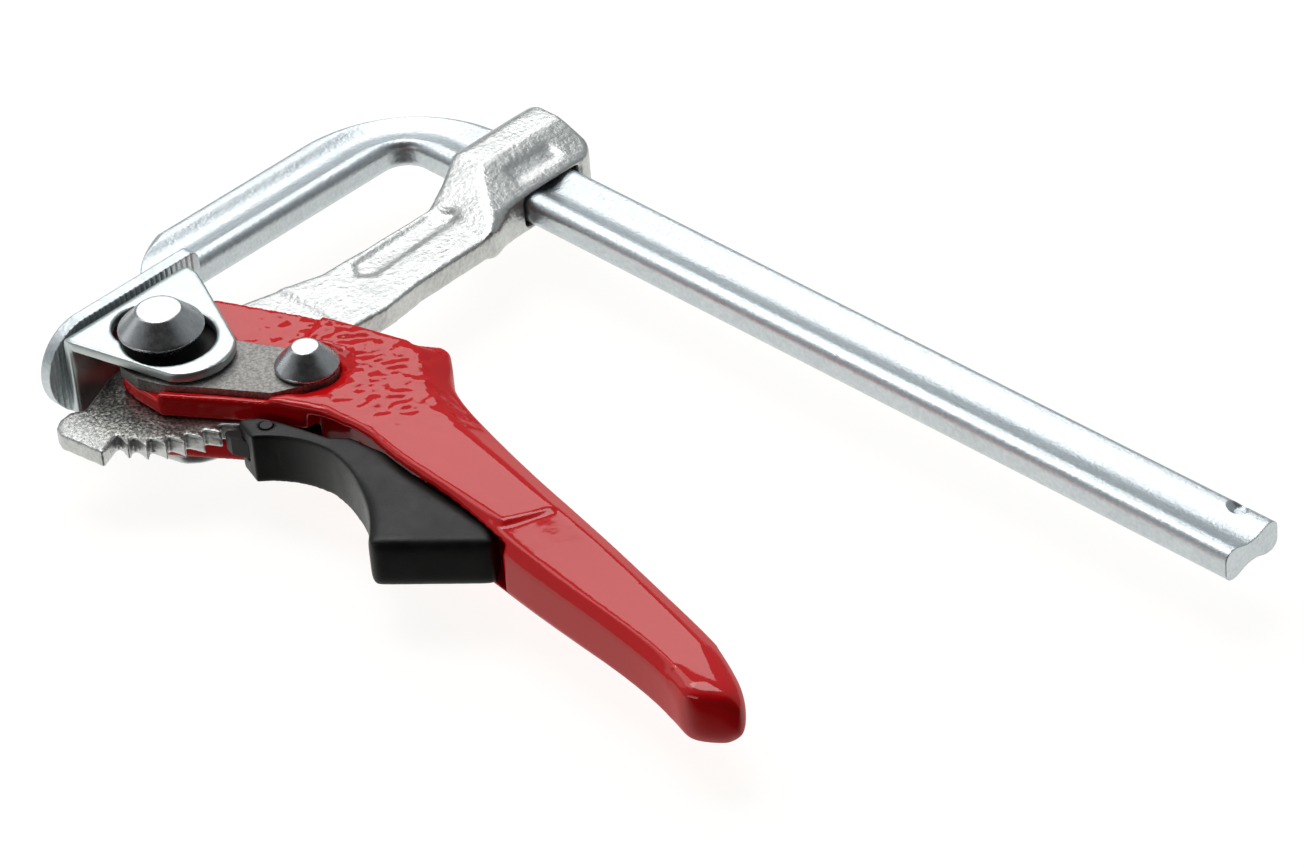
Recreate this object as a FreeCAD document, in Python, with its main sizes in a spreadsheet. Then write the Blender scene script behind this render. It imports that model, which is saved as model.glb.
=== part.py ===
import FreeCAD, Part
import math
import os
import Sketcher

# Quick release bar clamp, in millimetres and degrees.
# The origin is on the main pivot's axis, at the lower flat of its rivet, which the clamp lies on.
# X runs along the bar away from the fixed jaw, Y runs across towards the bar, Z runs up.
# At rest the lever is squeezed home, the arm is at the fixed jaw and the pawl is just lifted.

SIZES = {
    # bar and fixed jaw
    "bar_width": 14.5,
    "bar_thickness": 6.5,
    "bar_length": 228.0,
    "throat": 82.0,
    "jaw_width": 14.6,
    "bend_outer_radius": 29.0,
    "bend_inner_radius": 5.0,
    "bar_edge_round": 2.0,
    "groove_width": 9.0,
    "groove_depth": 1.05,
    "groove_radius": 7.3,
    "ridge_radius": 4.0,
    "jaw_straight_end": 28.0,
    "jaw_taper_radius": 24.0,
    "jaw_taper_end": 17.2,
    "jaw_tip_place": 7.0,
    "foot_thickness": 2.7,
    "foot_setback": 4.7,
    "foot_height": 20.4,
    "foot_above_axis": 23.0,
    "foot_below_axis": 16.6,
    "foot_corner_round": 2.0,
    "serration_depth": 0.25,
    "serration_pitch": 1.3,
    "serration_count": 29,
    "dent_radius": 2.5,
    "dent_floor_radius": 1.1,
    "dent_depth": 1.4,
    "dent_inset": 7.4,
    "dent_edge_distance": 1.6,
    # sliding arm
    "arm_thickness": 5.2,
    "arm_width": 20.0,
    "head_back_place": 5.5,
    "head_front_place": 15.4,
    "head_height": 16.2,
    "head_wall": 6.2,
    "head_overhang": 2.0,
    "head_ramp_length": 12.0,
    "head_ridge_start": 1.0,
    "head_ridge_end": 4.7,
    "head_slope_drop": 3.7,
    "head_side_drop": 5.1,
    "head_side_radius": 5.4,
    "head_corner_round": 3.2,
    "head_front_round": 5.0,
    "head_ridge_round": 1.2,
    "head_ramp_round": 2.5,
    "bar_clearance": 0.35,
    "arm_recess_depth": 0.6,
    "panel_depth": 0.5,
    "panel_inset": 3.4,
    "panel_width": 4.2,
    "panel_length": 12.4,
    # toothed blade of the arm
    "blade_thickness": 3.8,
    "tooth_tip_radius": 24.5,
    "tooth_depth": 3.1,
    "tooth_pitch_angle": 8.6,
    "first_tooth_angle": -16.4,
    "tooth_gap_count": 6,
    "stop_radius": 27.6,
    # pressure pad
    "pad_reach": 13.5,
    "pad_gap": 1.8,
    "pad_height": 21.6,
    "pad_wall": 2.2,
    "pad_front_width": 13.8,
    "pad_back_width": 17.8,
    "pad_nose_place": 16.2,
    "pad_nose_radius": 9.9,
    "pad_stroke": 2.4,
    "pad_bend_radius": 1.6,
    "keyhole_radius": 8.9,
    "keyhole_place": 2.8,
    "keyhole_slot_radius": 6.7,
    "keyhole_slot_place": 3.9,
    "keyhole_drop": 0.4,
    # lever casting
    "lever_length": 156.0,
    "lever_rise": 36.5,
    "lever_height": 16.6,
    "rim_step": 1.1,
    "grip_height": 13.2,
    "grip_side_height": 8.2,
    "side_clearance": 0.3,
    "lever_swing_angle": 51.5,
    "seat_radius": 8.3,
    "seat_depth": 0.8,
    "plateau_lift": 0.12,
    "plateau_inset": 0.2,
    "grip_front_drop": 0.9,
    # steel cam plates
    "plate_thickness": 2.5,
    "plate_clearance": 0.4,
    "plate_end_radius": 6.0,
    "pocket_clearance": 0.3,
    "cam_radius": 11.0,
    "cam_inset": 0.5,
    # main rivet
    "rivet_shank_radius": 5.0,
    "rivet_rim_radius": 8.4,
    "rivet_flat_radius": 4.4,
    "rivet_lift": 0.6,
    "rivet_rim_thickness": 0.6,
    "rivet_cone_height": 4.0,
    # pawl rivet and its bush
    "pawl_axis_distance": 27.6,
    "pawl_axis_offset": 12.0,
    "pin_shank_radius": 2.4,
    "pin_rim_radius": 6.3,
    "pin_flat_radius": 2.7,
    "pin_lift": 0.4,
    "pin_rim_thickness": 0.5,
    "pin_cone_height": 4.0,
    "bush_radius": 3.4,
    "bush_end_clearance": 0.1,
    "running_fit": 0.05,
    # pawl
    "pawl_drop": 19.0,
    "hub_radius": 5.1,
    "nose_clearance": 1.35,
    "nose_gap_angle": 0.6,
    "nose_flat_angle": 2.2,
    "nose_flank_angle": 6.9,
    "pawl_lift_angle": 6.1,
    # trigger, its pin and its spring
    "trigger_height": 11.0,
    "trigger_clearance": 0.4,
    "trigger_reach": 90.0,
    "trigger_drop": 15.2,
    "finger_front_radius": 20.0,
    "finger_middle_radius": 30.0,
    "finger_back_radius": 40.0,
    "pawl_slot_clearance": 0.1,
    "trigger_pin_radius": 1.25,
    "trigger_pin_distance": 32.0,
    "trigger_pin_offset": -3.1,
    "spring_place": 66.0,
    "spring_radius": 2.4,
    "spring_wire_radius": 0.4,
    "spring_turns": 3,
    "spring_wire_sides": 6,
    "spring_bore_radius": 3.2,
    "spring_bore_bottom": 0.6,
    "spring_seat_clearance": 0.2,
    # one overrun for every cut that comes out of its solid
    "overrun": 5.0,
}

# Bar groove: where its sides meet its bottom, of the half width and the depth.
GROOVE_SHARES = (0.687, 0.348)
# Arm and head, of the arm width and the throat.
ARM_BACK_SHARES = [(0.070, 0.843), (0.060, 0.610), (0.040, 0.482), (-0.030, 0.432), (-0.100, 0.378)]
ARM_FRONT_SHARES = [(0.940, 0.378), (0.975, 0.488), (0.915, 0.610), (0.905, 0.843)]
HEAD_FRONT_SHARES = [(0.905, 0.829), (0.910, 0.874), (0.785, 0.939)]
HEAD_BACK_SHARES = [(-0.215, 1.000), (-0.090, 0.944), (0.010, 0.887), (0.070, 0.829)]
RECESS_SHARES = [
    (0.475, 0.562), (0.415, 0.841), (0.405, 0.861), (0.130, 0.824), (0.170, 0.560), (0.340, 0.530)
]
# Blade, of the tooth tip radius both ways.
BLADE_BACK_SHARES = [(-0.090, 1.340), (-0.188, 1.000), (-0.245, 0.816), (-0.286, 0.000), (-0.286, -0.327)]
BLADE_END_SHARES = [(-0.102, -0.755), (-0.167, -0.865), (-0.155, -0.980), (-0.094, -1.069), (-0.012, -1.102)]
BLADE_FRONT_SHARES = [(0.750, 0.640), (0.714, 1.061), (0.767, 1.340)]
# Pad flange, of the nose place and of the front or back width, and its web's ends.
FLANGE_FRONT_SHARES = [(-0.679, -1.000), (0.722, -0.600)]
FLANGE_BACK_SHARES = [(0.796, 0.421), (-0.321, 0.888), (-0.556, 0.978), (-0.722, 1.000)]
WEB_SHARES = (0.980, 0.945)
# Lever casting, of the lever length and the lever rise.
LEVER_FRONT_SHARES = [
    (-0.005, -0.277), (0.026, -0.304), (0.071, -0.307), (0.146, -0.099), (0.187, 0.008), (0.256, 0.130)
]
LEVER_BACK_SHARES = [(0.256, 0.808), (0.231, 0.841), (0.091, 0.663), (-0.019, 0.466), (-0.051, 0.356)]
STEP_SHARES = [(0.112, 0.690), (0.117, 0.630), (0.176, 0.082)]
FACET_SHARES = [(0.578, 0.060), (0.597, 0.210), (0.606, 0.315)]
# Cavity's end, of the trigger reach and the lever rise.
CAVITY_END_SHARES = [(1.033, 0.110), (0.956, 0.266)]
# Slot and cavity from the pawl's axis, of the pawl drop both ways.
SLOT_SHARES = [(0.444, -0.316), (0.363, 0.105), (0.126, 0.395), (-0.321, 0.526)]
CAVITY_FRONT_SHARES = [(0.758, -0.132), (0.444, -0.263)]
# Sections of the hump and the grip: middle along and across, turn in degrees, half width,
# front bevel, back bevel, height between the grip's (0) and the lever's (1), and front drop.
HUMP_SHARES = [
    (0.244, 0.560, 0, 0.440, 0.008, 0.170, 1.00, 0.00),
    (0.263, 0.560, 0, 0.432, 0.008, 0.192, 1.00, 0.00),
    (0.288, 0.521, 0, 0.384, 0.008, 0.192, 1.00, 0.00),
]
GRIP_SHARES = [
    (0.288, 0.521, 0, 0.384, 0.008, 0.192, 1.00, 0.00),
    (0.340, 0.442, 0, 0.305, 0.008, 0.173, 1.00, 0.00),
    (0.397, 0.381, 0, 0.285, 0.008, 0.175, 1.00, 0.05),
    (0.481, 0.315, 0, 0.255, 0.019, 0.145, 0.98, 0.35),
    (0.571, 0.232, 0, 0.248, 0.044, 0.132, 0.94, 1.00),
    (0.686, 0.145, 0, 0.227, 0.044, 0.107, 0.45, 0.70),
    (0.795, 0.064, -4, 0.193, 0.047, 0.096, 0.08, 0.30),
    (0.878, -0.010, -16, 0.175, 0.052, 0.096, 0.00, 0.10),
    (0.938, -0.096, -38, 0.171, 0.050, 0.096, 0.00, 0.00),
    (0.973, -0.204, -58, 0.153, 0.042, 0.096, 0.00, 0.00),
]
# Cam plate, of the lever length and the lever rise.
PLATE_NOSE_SHARES = [(-0.004, -0.288), (0.032, -0.301), (0.068, -0.249)]
PLATE_FRONT_SHARES = [(0.105, -0.145), (0.137, -0.060), (0.182, 0.058), (0.199, 0.192)]
PLATE_BACK_SHARES = [
    (0.132, 0.384), (0.097, 0.307), (0.069, 0.255), (0.038, 0.260), (0.000, 0.301), (-0.045, 0.247)
]
POCKET_NOSE_SHARES = [(-0.128, -0.548), (0.065, -0.548), (0.065, -0.264), (0.070, -0.260)]
POCKET_FRONT_SHARES = [(0.107, -0.155), (0.139, -0.070), (0.185, 0.047), (0.206, 0.190)]
POCKET_BACK_SHARES = [
    (0.155, 0.500), (0.131, 0.395), (0.096, 0.318), (0.069, 0.266), (0.000, 0.315), (-0.128, 0.315)
]
# Pawl from its axis, of the pawl drop both ways, in its locked place.
PAWL_TAIL_SHARES = [(-0.189, -1.000), (-0.005, -0.958), (0.311, -0.858), (0.347, -0.716), (0.226, -0.526)]
PAWL_NECK_SHARES = [(-0.137, -0.421), (-0.126, -0.737)]
# Trigger, of its reach and its drop.
FINGER_SHARES = [(0.523, -0.053), (0.656, -0.303), (0.797, -0.980)]
TRIGGER_TOE_SHARES = [(0.811, -1.000), (0.994, -0.079), (1.000, 0.000), (0.967, 0.263), (0.622, 0.355)]
# Trigger's front end from the pawl's axis, of the pawl drop both ways.
TRIGGER_BACK_SHARES = [(1.021, -0.400), (0.858, -0.532), (0.521, -0.605), (0.295, -0.663), (0.105, -0.732)]
TRIGGER_EDGE_SHARES = [(0.000, -0.821), (-0.042, -0.921), (0.253, -1.016)]
PAWL_SLOT_SHARES = [
    (-0.505, -1.211), (0.121, -1.053), (0.121, -0.971), (0.437, -0.853), (0.463, 0.000), (-0.505, 0.000)
]

# How near two places lie that count as one, when edges are picked.
SAME_PLACE = 1e-4

doc = FreeCAD.newDocument("bar_clamp")
sheet = doc.addObject("Spreadsheet::Sheet", "Sizes")


class Size:
    """A number together with the sheet expression that gives it."""

    def __init__(self, value, text):
        self.value = float(value)
        self.text = text

    def _with(self, other, sign, value):
        other = as_size(other)
        return Size(value(self.value, other.value), f"({self.text} {sign} {other.text})")

    def __add__(self, other):
        return self._with(other, "+", lambda a, b: a + b)

    def __sub__(self, other):
        return self._with(other, "-", lambda a, b: a - b)

    def __mul__(self, other):
        return self._with(other, "*", lambda a, b: a * b)

    def __truediv__(self, other):
        return self._with(other, "/", lambda a, b: a / b)

    def __neg__(self):
        return Size(-self.value, f"(-1 * {self.text})")


def as_size(number):
    """Let a plain share, count or zero stand in a sum of sizes."""
    return number if isinstance(number, Size) else Size(number, repr(float(number)))


def size(name):
    return Size(SIZES[name], f"Sizes.{name}")


def cosine(angle):
    return Size(math.cos(math.radians(angle.value)), f"cos({angle.text} * 1 deg)")


def sine(angle):
    return Size(math.sin(math.radians(angle.value)), f"sin({angle.text} * 1 deg)")


def polar(radius, angle):
    """A point at an angle round the main pivot."""
    return radius * cosine(angle), radius * sine(angle)


def spread(shares, along, across):
    """Points whose shares are taken of two named sizes."""
    return [(size(along) * x, size(across) * y) for x, y in shares]


def lever_points(shares):
    return spread(shares, "lever_length", "lever_rise")


def pawl_points(shares):
    """Points whose shares are taken of the pawl's drop, from the pawl's axis."""
    x, y = size("pawl_axis_distance"), size("pawl_axis_offset")
    return [(x + across, y + along) for across, along in spread(shares, "pawl_drop", "pawl_drop")]


def bar_middle():
    return size("throat") + size("bar_width") / 2


def foot_face():
    return -(size("pad_reach") + size("pad_gap"))


def jaw_inside():
    return foot_face() - size("foot_setback")


def bar_end():
    return jaw_inside() - size("jaw_width") + size("bar_length")


def head_end():
    return size("throat") + size("bar_width") + size("head_wall")


def plate_top():
    return size("pad_height") / 2 - size("pad_wall") - size("plate_clearance")


def plate_floor():
    return plate_top() - size("plate_thickness")


def cheek_gap():
    return size("blade_thickness") / 2 + size("side_clearance")


def rest_height():
    """Height of the clamp's middle plane over the main rivet's lower flat."""
    head = size("rivet_lift") + size("rivet_rim_thickness") + size("rivet_cone_height")
    return size("pad_height") / 2 + head


def cam_rise():
    """Lift of the cam for each degree of the lever's swing."""
    return size("pad_stroke") / size("lever_swing_angle")


def fill_sheet():
    for row, (name, value) in enumerate(SIZES.items(), start=1):
        sheet.set(f"A{row}", name)
        sheet.set(f"B{row}", str(value))
        sheet.setAlias(f"B{row}", name)
    doc.recompute()


def bind(obj, path, amount):
    obj.setExpression(path, as_size(amount).text)


def new_body(name):
    body = doc.addObject("PartDesign::Body", name)
    body.Label = name
    bind(body, "Placement.Base.z", rest_height())
    return body


def stand_at_pawl_axis(body):
    bind(body, "Placement.Base.x", size("pawl_axis_distance"))
    bind(body, "Placement.Base.y", size("pawl_axis_offset"))


def new_sketch(body, plane, lift=None, turn=0, shift=None):
    """A sketch on one of the body's own planes, lifted off it, moved along it and turned."""
    sketch = body.newObject("Sketcher::SketchObject", body.Label + "_sketch")
    support = [face for face in body.Origin.OriginFeatures if face.Role == plane][0]
    sketch.AttachmentSupport = [(support, "")]
    sketch.MapMode = "FlatFace"
    upright = FreeCAD.Rotation(FreeCAD.Vector(0, 1, 0), turn)
    sketch.AttachmentOffset = FreeCAD.Placement(FreeCAD.Vector(), upright)
    if shift is not None:
        bind(sketch, "AttachmentOffset.Base.x", shift)
    if lift is not None:
        bind(sketch, "AttachmentOffset.Base.z", lift)
    return sketch


def arc_between(start, end, radius, side):
    """The short arc from start to end, its centre on the left for side 1 and on the right for -1."""
    (ax, ay), (bx, by) = start, end
    chord = math.hypot(bx - ax, by - ay)
    rise = math.sqrt(max(radius ** 2 - chord ** 2 / 4, 0)) * side
    centre_x = (ax + bx) / 2 - (by - ay) / chord * rise
    centre_y = (ay + by) / 2 + (bx - ax) / chord * rise
    first = math.atan2(ay - centre_y, ax - centre_x)
    last = math.atan2(by - centre_y, bx - centre_x)
    if side < 0:
        first, last = last, first
    circle = Part.Circle(FreeCAD.Vector(centre_x, centre_y, 0), FreeCAD.Vector(0, 0, 1), radius)
    return Part.ArcOfCircle(circle, first, last)


def name_constraint(sketch, constraint, amount):
    index = sketch.addConstraint(constraint)
    sketch.renameConstraint(index, f"size{index}")
    bind(sketch, f"Constraints.size{index}", amount)


def place_vertex(sketch, edge, vertex, place):
    for kind, amount in zip(("DistanceX", "DistanceY"), place):
        name_constraint(sketch, Sketcher.Constraint(kind, edge, vertex, amount.value), amount)


def draw_outline(sketch, corners, closed=True):
    """Draw through the corners, each placed by two sizes.

    A corner is (x, y), or (x, y, radius, side) where an arc leaves it for the next corner.
    """
    places = [(as_size(corner[0]), as_size(corner[1])) for corner in corners]
    edges = []
    for index in range(len(corners) if closed else len(corners) - 1):
        corner = corners[index]
        start = [amount.value for amount in places[index]]
        end = [amount.value for amount in places[(index + 1) % len(corners)]]
        if len(corner) == 2:
            line = Part.LineSegment(FreeCAD.Vector(*start, 0), FreeCAD.Vector(*end, 0))
            edges.append((sketch.addGeometry(line, False), 1, 2))
            continue
        radius = as_size(corner[2])
        arc = sketch.addGeometry(arc_between(start, end, radius.value, corner[3]), False)
        edges.append((arc, 1, 2) if corner[3] > 0 else (arc, 2, 1))
        name_constraint(sketch, Sketcher.Constraint("Radius", arc, radius.value), radius)
    for index, (edge, start, end) in enumerate(edges):
        place_vertex(sketch, edge, start, places[index])
        if closed or index + 1 < len(edges):
            follower = edges[(index + 1) % len(edges)]
            sketch.addConstraint(Sketcher.Constraint("Coincident", edge, end, follower[0], follower[1]))
        else:
            place_vertex(sketch, edge, end, places[index + 1])
    return sketch


def draw_circle(sketch, x, y, radius):
    x, y = as_size(x), as_size(y)
    circle = Part.Circle(FreeCAD.Vector(x.value, y.value, 0), FreeCAD.Vector(0, 0, 1), radius.value)
    edge = sketch.addGeometry(circle, False)
    name_constraint(sketch, Sketcher.Constraint("Radius", edge, radius.value), radius)
    place_vertex(sketch, edge, 3, (x, y))
    return sketch


def add_pad(body, sketch, length, midplane=True, backwards=False):
    feature = body.newObject("PartDesign::Pad", body.Label + "_pad")
    feature.Profile = sketch
    feature.Midplane = midplane
    feature.Reversed = backwards
    bind(feature, "Length", length)
    doc.recompute()
    return feature


def check_cut(body, before):
    """Make sure that a cut really took something away."""
    if not body.Shape.Volume < before:
        raise RuntimeError(f"a cut of {body.Label} takes nothing away")


def cut_pocket(body, sketch, length, midplane=True, backwards=False):
    before = body.Shape.Volume
    feature = body.newObject("PartDesign::Pocket", body.Label + "_pocket")
    feature.Profile = sketch
    feature.Midplane = midplane
    feature.Reversed = backwards
    bind(feature, "Length", length)
    doc.recompute()
    check_cut(body, before)
    return feature


def mirror_over_middle(body, feature):
    """Repeat a feature on the lower side of the body's middle plane."""
    middle = [face for face in body.Origin.OriginFeatures if face.Role == "XY_Plane"][0]
    mirrored = body.newObject("PartDesign::Mirrored", body.Label + "_mirrored")
    mirrored.Originals = [feature]
    mirrored.MirrorPlane = (middle, [""])
    body.Tip = mirrored
    doc.recompute()
    return mirrored


def turn_profile(body, corners):
    """Turn a profile, drawn as radius and height, once round the body's own Z axis."""
    sketch = draw_outline(new_sketch(body, "XZ_Plane"), corners)
    feature = body.newObject("PartDesign::Revolution", body.Label + "_turned")
    feature.Profile = sketch
    feature.ReferenceAxis = (sketch, ["V_Axis"])
    feature.Angle = 360
    doc.recompute()
    return feature


def round_edges(body, test, radius):
    """Round the edges of the body whose middle point passes the test."""
    base = body.Tip
    names = []
    for index, edge in enumerate(base.Shape.Edges, start=1):
        middle = edge.valueAt((edge.FirstParameter + edge.LastParameter) / 2)
        if test(edge, middle):
            names.append(f"Edge{index}")
    feature = body.newObject("PartDesign::Fillet", body.Label + "_fillet")
    feature.Base = (base, names)
    bind(feature, "Radius", radius)
    doc.recompute()
    return feature


def rail_outline():
    """Bar, bend and jaw from the side, with a stub that carries the foot."""
    front, back = size("throat"), size("throat") + size("bar_width")
    outside = jaw_inside() - size("jaw_width")
    stub = foot_face() - size("foot_thickness") / 2
    shoulder = size("foot_above_axis") - size("foot_corner_round")
    bend, inner_bend = size("bend_outer_radius"), size("bend_inner_radius")
    return [
        (bar_end(), front),
        (bar_end(), back),
        (outside + bend, back, bend, 1),
        (outside, back - bend),
        (outside, size("jaw_straight_end"), size("jaw_taper_radius"), 1),
        (outside + size("jaw_width") / 2, size("jaw_taper_end")),
        (foot_face() - size("foot_thickness"), size("jaw_tip_place")),
        (stub, size("jaw_tip_place")),
        (stub, shoulder),
        (jaw_inside(), shoulder + size("foot_setback")),
        (jaw_inside(), front - inner_bend, inner_bend, -1),
        (jaw_inside() + inner_bend, front),
    ]


def foot_outline():
    half = size("foot_height") / 2
    corner = size("foot_corner_round")
    top = size("foot_above_axis")
    centre = half - size("foot_below_axis")
    return [
        (centre, -half),
        (top - corner, -half, corner, 1),
        (top, corner - half),
        (top, half - corner, corner, 1),
        (top - corner, half),
        (centre, half, half, 1),
        (centre - half, 0, half, 1),
    ]


def cut_serrations(body):
    depth = size("serration_depth")
    first = size("serration_pitch") - size("foot_below_axis")
    notch = [
        (foot_face() - depth, first),
        (foot_face() + depth, first - depth * 2),
        (foot_face() + depth, first + depth * 2),
    ]
    sketch = draw_outline(new_sketch(body, "XY_Plane"), notch)
    cut = cut_pocket(body, sketch, size("foot_height") + size("overrun"))
    pattern = body.newObject("PartDesign::LinearPattern", body.Label + "_pattern")
    pattern.Originals = [cut]
    pattern.Direction = (sketch, ["V_Axis"])
    bind(pattern, "Occurrences", size("serration_count"))
    bind(pattern, "Length", size("serration_pitch") * (size("serration_count") - 1))
    body.Tip = pattern
    doc.recompute()


def groove_outline():
    """Dished groove between two round ridges, in the bar's end plane."""
    middle, face = bar_middle(), size("bar_thickness") / 2
    half, depth = size("groove_width") / 2, size("groove_depth")
    side, low = half * GROOVE_SHARES[0], face - depth * GROOVE_SHARES[1]
    ridge, dish = size("ridge_radius"), size("groove_radius")
    return [
        (middle - half, face, ridge, -1),
        (middle - side, low, dish, 1),
        (middle + side, low, ridge, -1),
        (middle + half, face),
        (middle + half, face + depth),
        (middle - half, face + depth),
    ]


def cut_grooves(body):
    """Grooves along both wide faces, which follow the bend."""
    before = body.Shape.Volume
    start = bar_end() + size("overrun")
    bend = (size("bend_outer_radius") + size("bend_inner_radius")) / 2
    leg = jaw_inside() - size("jaw_width") / 2
    path = draw_outline(new_sketch(body, "XY_Plane"), [
        (start, bar_middle()),
        (leg + bend, bar_middle(), bend, 1),
        (leg, bar_middle() - bend),
        (leg, 0),
    ], closed=False)
    profile = draw_outline(new_sketch(body, "YZ_Plane", lift=start), groove_outline())
    doc.recompute()
    groove = body.newObject("PartDesign::SubtractivePipe", body.Label + "_groove")
    groove.Profile = profile
    groove.Spine = (path, ["Edge1", "Edge2", "Edge3"])
    doc.recompute()
    check_cut(body, before)
    mirror_over_middle(body, groove)


def cut_dents(body):
    """Round dents in the back ridges near the bar's end, which keep the arm on the bar."""
    before = body.Shape.Volume
    radius = size("dent_radius")
    face = size("bar_thickness") / 2
    top = face + size("overrun")
    across = size("throat") + size("bar_width") - size("dent_edge_distance")
    sketch = new_sketch(body, "XZ_Plane", lift=-across, shift=bar_end() - size("dent_inset"))
    floor, bottom = size("dent_floor_radius"), face - size("dent_depth")
    draw_outline(sketch, [(0, bottom), (floor, bottom), (radius, face), (radius, top), (0, top)])
    dent = body.newObject("PartDesign::Groove", body.Label + "_dent")
    dent.Profile = sketch
    dent.ReferenceAxis = (sketch, ["V_Axis"])
    dent.Angle = 360
    doc.recompute()
    check_cut(body, before)
    mirror_over_middle(body, dent)


def on_bar_edge(edge, middle):
    """Whether an edge is a long edge of the wide faces, not behind the foot or at the cut end."""
    foot_back = (foot_face() - size("foot_thickness")).value - SAME_PLACE
    behind_foot = middle.x > foot_back and middle.y < SIZES["foot_above_axis"]
    at_end = middle.x > bar_end().value - SAME_PLACE
    on_face = abs(abs(middle.z) - SIZES["bar_thickness"] / 2) < SAME_PLACE
    return on_face and not behind_foot and not at_end


def build_fixed_rail():
    body = new_body("fixed_rail")
    add_pad(body, draw_outline(new_sketch(body, "XY_Plane"), rail_outline()), size("bar_thickness"))
    round_edges(body, on_bar_edge, size("bar_edge_round"))
    foot = draw_outline(new_sketch(body, "YZ_Plane", lift=foot_face()), foot_outline())
    add_pad(body, foot, size("foot_thickness"), midplane=False, backwards=True)
    cut_serrations(body)
    cut_grooves(body)
    cut_dents(body)
    return body


def head_outline():
    back, corner = -size("head_back_place"), size("head_corner_round")
    front, front_corner = size("head_front_place"), size("head_front_round")
    top = head_end()
    return (
        spread(HEAD_FRONT_SHARES, "arm_width", "throat")
        + [
            (front, size("throat") - size("head_overhang")),
            (front, top - front_corner, front_corner, 1),
            (front - front_corner, top),
            (back + corner, top, corner, 1),
            (back, top - corner),
            (back, size("throat") + size("head_overhang") * 2),
        ]
        + spread(HEAD_BACK_SHARES, "arm_width", "throat")
    )


def cut_head_ramps(body):
    """Slope the head down to the arm's thickness on its throat side."""
    end = size("throat") - size("head_overhang")
    start = end - size("head_ramp_length")
    low, high = size("arm_thickness") / 2, size("head_height") / 2
    overrun = size("overrun")
    ramp = [(start, low), (end, high), (end, high + overrun), (start - overrun, high + overrun)]
    sketch = draw_outline(new_sketch(body, "YZ_Plane"), ramp)
    mirror_over_middle(body, cut_pocket(body, sketch, (size("arm_width") + overrun) * 2))


def slope_height(place):
    """Height of the head's sloping front at a place along X."""
    run = size("head_front_place") - size("head_ridge_end")
    return size("head_height") / 2 - size("head_slope_drop") * (place - size("head_ridge_end")) / run


def cut_head_slopes(body):
    back, high, overrun = -size("head_back_place"), size("head_height") / 2, size("overrun")
    far = size("head_front_place") + overrun
    slope = [
        (back - overrun, high - size("head_side_drop")),
        (back, high - size("head_side_drop"), size("head_side_radius"), -1),
        (-size("head_ridge_start"), high),
        (size("head_ridge_end"), high),
        (far, slope_height(far)),
        (far, high + overrun),
        (back - overrun, high + overrun),
    ]
    sketch = draw_outline(new_sketch(body, "XZ_Plane"), slope)
    mirror_over_middle(body, cut_pocket(body, sketch, (head_end() + overrun) * 2))


def cut_head_panels(body):
    """Rough recessed panels on the head's slopes."""
    start = size("head_ridge_end") + size("panel_inset")
    end = start + size("panel_width")
    depth, overrun = size("panel_depth"), size("overrun")
    panel = [
        (start, slope_height(start) - depth),
        (end, slope_height(end) - depth),
        (end, slope_height(end) + overrun),
        (start, slope_height(start) + overrun),
    ]
    sketch = draw_outline(new_sketch(body, "XZ_Plane", lift=-bar_middle()), panel)
    mirror_over_middle(body, cut_pocket(body, sketch, size("panel_length")))


def round_head(body):
    """Round the ridge's long edges and the front edges of the ramps."""
    (x0, y0), (x1, y1) = spread(HEAD_FRONT_SHARES[1:], "arm_width", "throat")
    ramp_x, ramp_y = ((x0 + x1) / 2).value, ((y0 + y1) / 2).value

    def on_ridge(edge, middle):
        beside = min(abs(middle.x - SIZES["head_ridge_end"]), abs(middle.x + SIZES["head_ridge_start"]))
        return beside < SAME_PLACE and abs(abs(middle.z) - SIZES["head_height"] / 2) < SAME_PLACE

    def on_ramp_front(edge, middle):
        return math.hypot(middle.x - ramp_x, middle.y - ramp_y) < SAME_PLACE

    round_edges(body, on_ridge, size("head_ridge_round"))
    round_edges(body, on_ramp_front, size("head_ramp_round"))


def cut_window(body):
    """The window through the head that the bar runs in."""
    clearance = size("bar_clearance")
    low, high = size("throat") - clearance, size("throat") + size("bar_width") + clearance
    half = size("bar_thickness") / 2 + clearance
    window = [(low, -half), (high, -half), (high, half), (low, half)]
    sketch = draw_outline(new_sketch(body, "YZ_Plane"), window)
    cut_pocket(body, sketch, (size("head_front_place") + size("overrun")) * 2)


def tooth_points():
    """The toothed rim, from the stop nose at its lower end up to the tip beside the pawl."""
    root = size("tooth_tip_radius") - size("tooth_depth")
    pitch, count = size("tooth_pitch_angle"), SIZES["tooth_gap_count"]
    stop_angle = size("first_tooth_angle") - pitch * count
    points = [polar(size("stop_radius"), stop_angle), polar(root, stop_angle)]
    for gap in range(count + 1):
        angle = stop_angle + pitch * (gap + 1)
        points.append(polar(size("tooth_tip_radius"), angle))
        if gap < count:
            points.append(polar(root, angle))
    return points


def blade_outline():
    tip = "tooth_tip_radius"
    teeth = tooth_points()
    guard = teeth[:-1] + [teeth[-1] + (size(tip), 1)]
    back = spread(BLADE_BACK_SHARES + BLADE_END_SHARES, tip, tip)
    return back + guard + spread(BLADE_FRONT_SHARES, tip, tip)


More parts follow.
